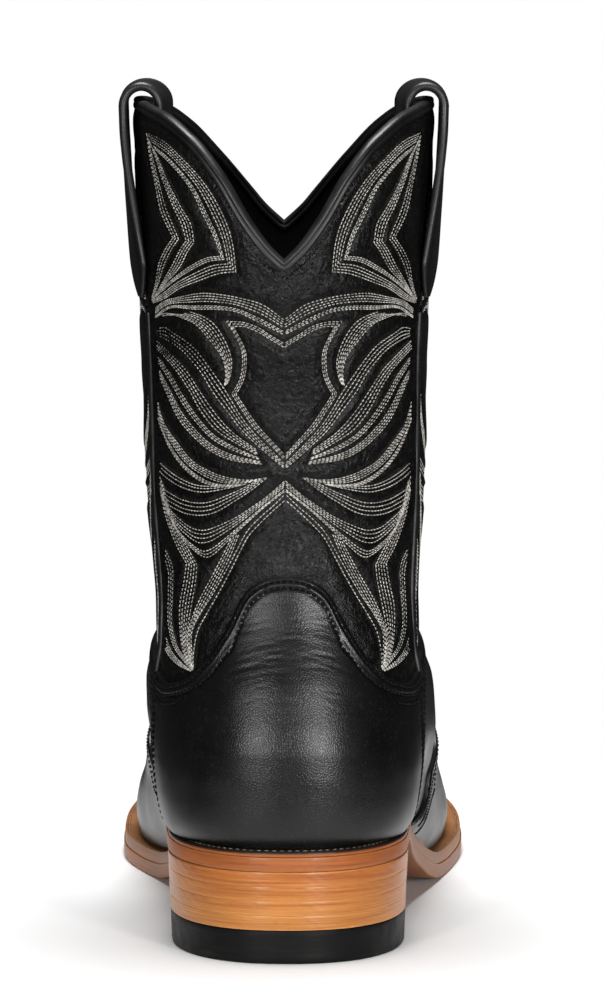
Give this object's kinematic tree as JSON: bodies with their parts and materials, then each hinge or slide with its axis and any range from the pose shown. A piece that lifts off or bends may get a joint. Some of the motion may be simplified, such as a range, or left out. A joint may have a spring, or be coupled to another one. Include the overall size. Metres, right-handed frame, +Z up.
{
  "type": "cowboy boot",
  "caption": "Short western boot for the right foot with a V-scalloped stitched leg, side pull straps, broad square toe and a stacked block heel.",
  "frame": {"origin": "on the floor under the middle of the boot's bounding box", "axes": "+Z up, +Y from the heel to the toe, +X towards the outer side of the right foot"},
  "size_m": [0.123, 0.3074, 0.2913],
  "materials": {
    "cap_rubber": "matte moulded rubber",
    "lift_leather": "sanded and waxed stacked leather edge",
    "nail_steel": "dull steel",
    "outsole_leather": "polished sole leather with brown edge",
    "peg_wood": "pale lemonwood",
    "welt_leather": "light tan stitched welt",
    "rand_leather": "dark brown waxed edge",
    "cork": "ground cork",
    "shank_steel": "spring steel strip",
    "insole_leather": "natural veg-tan",
    "sock_leather": "smooth lining leather",
    "lining_leather": "soft unfinished lining leather",
    "stiffener_leather": "pasted leather board",
    "shaft_leather": "black, quilted by light grey embroidery",
    "foot_leather": "smooth black, semi-gloss",
    "trim_leather": "rolled black bead, semi-gloss",
    "strap_leather": "folded black leather with stitched edges"
  },
  "bodies": {
    "boot": {"heel_cap": "cap_rubber", "heel_lift_1": "lift_leather", "heel_lift_2": "lift_leather", "heel_lift_3": "lift_leather", "heel_lift_4": "lift_leather", "cap_nails": "nail_steel", "heel_nails": "nail_steel", "outsole": "outsole_leather", "shank_pegs": "peg_wood", "welt": "welt_leather", "heel_rand": "rand_leather", "cork_filler": "cork", "steel_shank": "shank_steel", "insole": "insole_leather", "heel_sock": "sock_leather", "lining_back": "lining_leather", "lining_front": "lining_leather", "foot_lining": "lining_leather", "heel_stiffener": "stiffener_leather", "toe_puff": "stiffener_leather", "shaft_back": "shaft_leather", "shaft_front": "shaft_leather", "vamp": "foot_leather", "toe_overlay": "foot_leather", "counter": "foot_leather", "side_piping_left": "trim_leather", "side_piping_right": "trim_leather", "top_binding_back": "trim_leather", "top_binding_front": "trim_leather"},
    "strap_left": {"pull_strap_left": "strap_leather"},
    "strap_right": {"pull_strap_right": "strap_leather"}
  },
  "joints": [
    {"name": "strap_left_sway", "type": "hinge", "parent": "boot", "child": "strap_left", "pos_m": [-0.05227, -0.093, 0.236], "axis": [1, 0, 0], "range_deg": [-6, 6], "stiffness_Nm_per_rad": 0.05},
    {"name": "strap_right_sway", "type": "hinge", "parent": "boot", "child": "strap_right", "pos_m": [0.04623, -0.093, 0.236], "axis": [1, 0, 0], "range_deg": [-6, 6], "stiffness_Nm_per_rad": 0.05}
  ]
}
